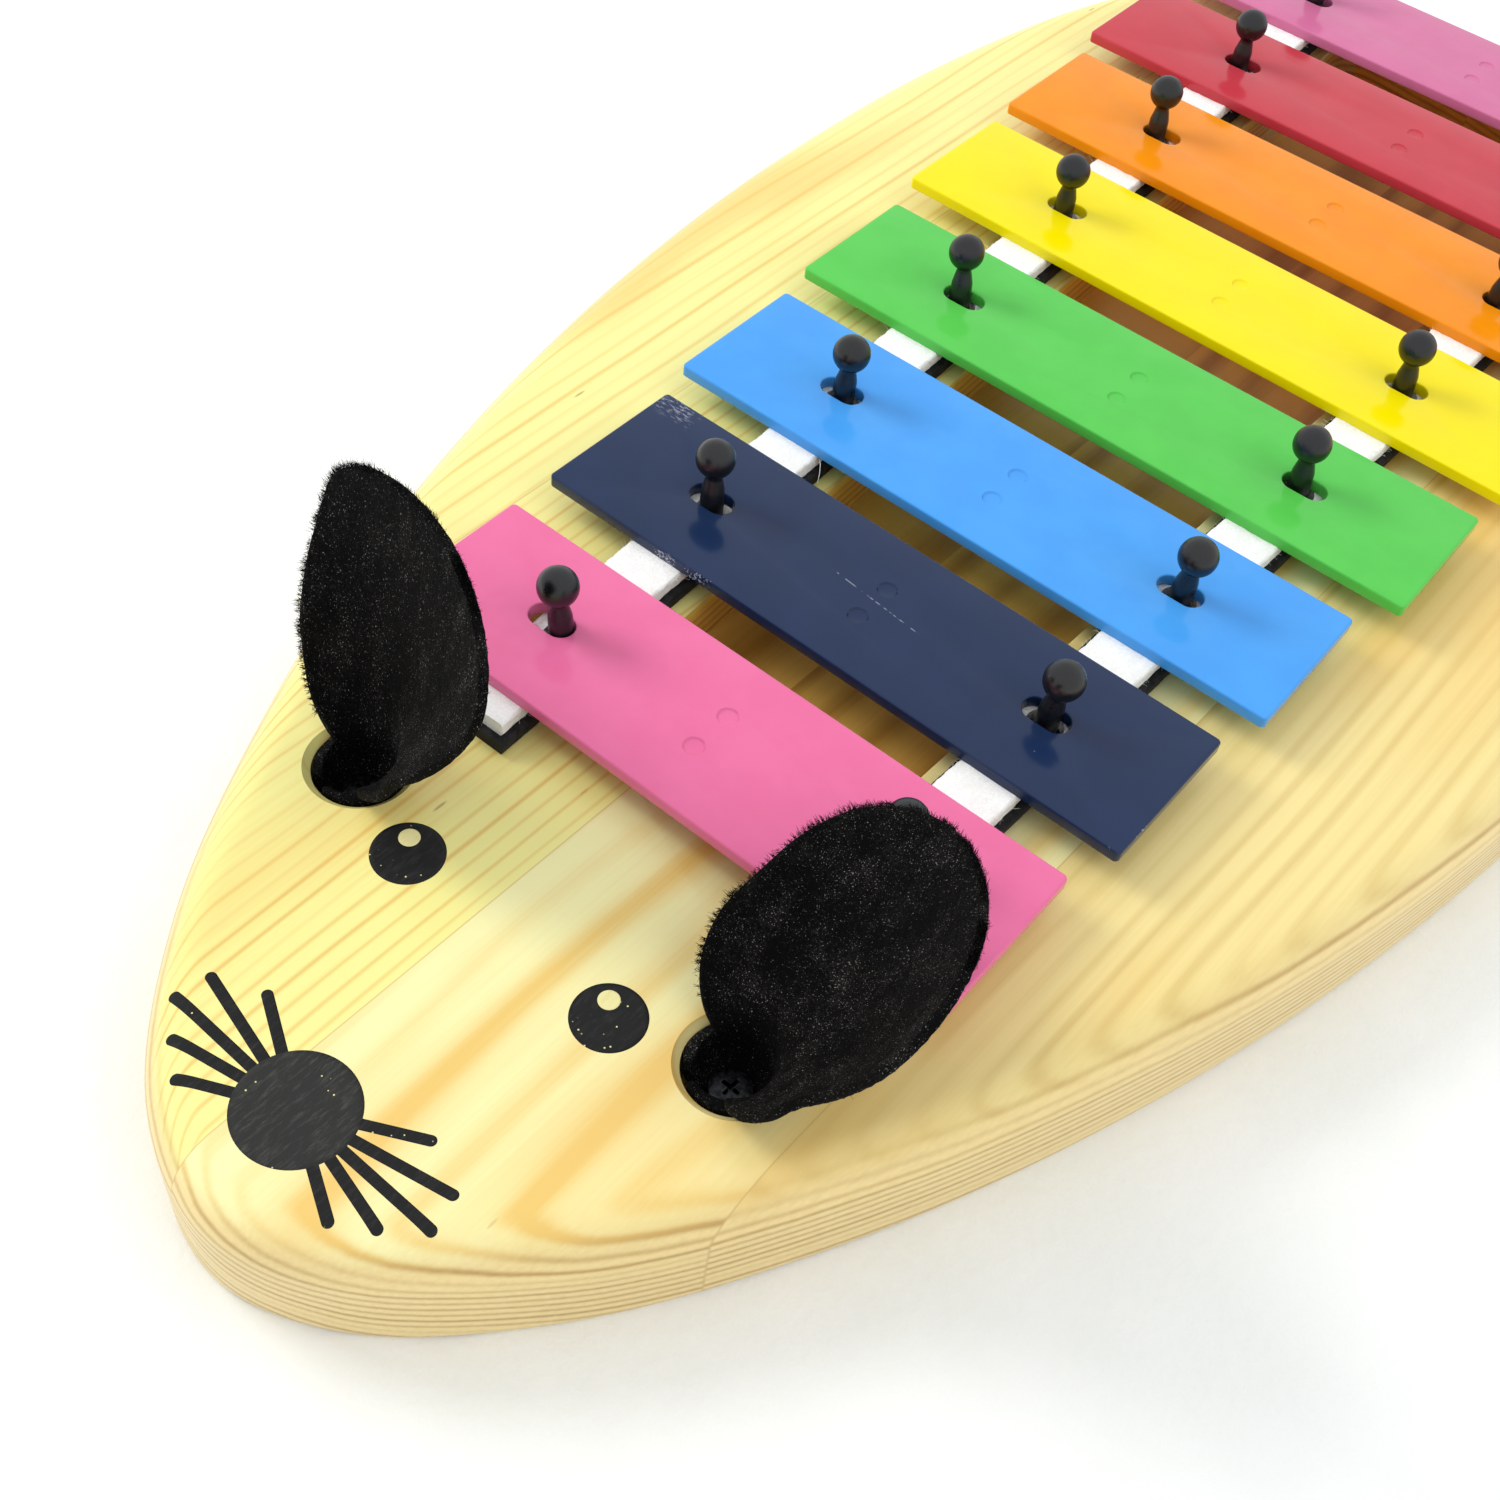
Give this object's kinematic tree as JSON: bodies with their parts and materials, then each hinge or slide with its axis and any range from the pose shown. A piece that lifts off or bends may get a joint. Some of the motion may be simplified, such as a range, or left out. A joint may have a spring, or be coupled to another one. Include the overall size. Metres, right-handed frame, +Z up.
{
  "type": "glockenspiel",
  "caption": "Toy glockenspiel on a mouse-shaped pine board: painted metal bars on felt rails under ball-headed pegs, over a routed hollow, with two leather ears.",
  "frame": {"origin": "centre of the board's outline, on the surface that it rests on", "axes": "+Z up, +Y from the nose to the tail, +X to the right for a player who sits behind the nose and faces the tail"},
  "size_m": [0.1694, 0.3296, 0.0564],
  "materials": {
    "pine": "clear satin varnish",
    "rubber": "matt black foam rubber",
    "felt": "white wool felt",
    "peg_black": "semi-gloss black coating",
    "ear_leather": "black split leather, napped face",
    "screw_steel": "zinc plated",
    "paint_pink": "gloss enamel",
    "paint_navy": "gloss enamel",
    "paint_blue": "gloss enamel",
    "paint_green": "gloss enamel",
    "paint_yellow": "gloss enamel",
    "paint_orange": "gloss enamel",
    "paint_red": "gloss enamel",
    "paint_magenta": "gloss enamel"
  },
  "bodies": {
    "body": {"body_board": "pine", "rubber_strip_left": "rubber", "rubber_strip_right": "rubber", "felt_strip_left": "felt", "felt_strip_right": "felt", "ear_screw_left": "screw_steel", "ear_screw_right": "screw_steel", "peg_1_left": "peg_black", "peg_1_right": "peg_black", "peg_2_left": "peg_black", "peg_2_right": "peg_black", "peg_3_left": "peg_black", "peg_3_right": "peg_black", "peg_4_left": "peg_black", "peg_4_right": "peg_black", "peg_5_left": "peg_black", "peg_5_right": "peg_black", "peg_6_left": "peg_black", "peg_6_right": "peg_black", "peg_7_left": "peg_black", "peg_7_right": "peg_black", "peg_8_left": "peg_black", "peg_8_right": "peg_black"},
    "bar_1": {"bar_1": "paint_magenta"},
    "bar_2": {"bar_2": "paint_red"},
    "bar_3": {"bar_3": "paint_orange"},
    "bar_4": {"bar_4": "paint_yellow"},
    "bar_5": {"bar_5": "paint_green"},
    "bar_6": {"bar_6": "paint_blue"},
    "bar_7": {"bar_7": "paint_navy"},
    "bar_8": {"bar_8": "paint_pink"},
    "ear_left": {"ear_left": "ear_leather"},
    "ear_right": {"ear_right": "ear_leather"}
  },
  "joints": [
    {"name": "bar_1_lift", "type": "slide", "parent": "body", "child": "bar_1", "axis": [0, 0, 1], "range_m": [0, 0.0042]},
    {"name": "bar_2_lift", "type": "slide", "parent": "body", "child": "bar_2", "axis": [0, 0, 1], "range_m": [0, 0.0042]},
    {"name": "bar_3_lift", "type": "slide", "parent": "body", "child": "bar_3", "axis": [0, 0, 1], "range_m": [0, 0.0042]},
    {"name": "bar_4_lift", "type": "slide", "parent": "body", "child": "bar_4", "axis": [0, 0, 1], "range_m": [0, 0.0042]},
    {"name": "bar_5_lift", "type": "slide", "parent": "body", "child": "bar_5", "axis": [0, 0, 1], "range_m": [0, 0.0042]},
    {"name": "bar_6_lift", "type": "slide", "parent": "body", "child": "bar_6", "axis": [0, 0, 1], "range_m": [0, 0.0042]},
    {"name": "bar_7_lift", "type": "slide", "parent": "body", "child": "bar_7", "axis": [0, 0, 1], "range_m": [0, 0.0042]},
    {"name": "bar_8_lift", "type": "slide", "parent": "body", "child": "bar_8", "axis": [0, 0, 1], "range_m": [0, 0.0042]},
    {"name": "ear_left_rock", "type": "hinge", "parent": "body", "child": "ear_left", "pos_m": [-0.0318, -0.1127, 0.01445], "axis": [1, 0, 0], "range_deg": [-8, 8], "stiffness_Nm_per_rad": 0.05},
    {"name": "ear_right_rock", "type": "hinge", "parent": "body", "child": "ear_right", "pos_m": [0.0302, -0.1127, 0.01445], "axis": [1, 0, 0], "range_deg": [-8, 8], "stiffness_Nm_per_rad": 0.05}
  ]
}
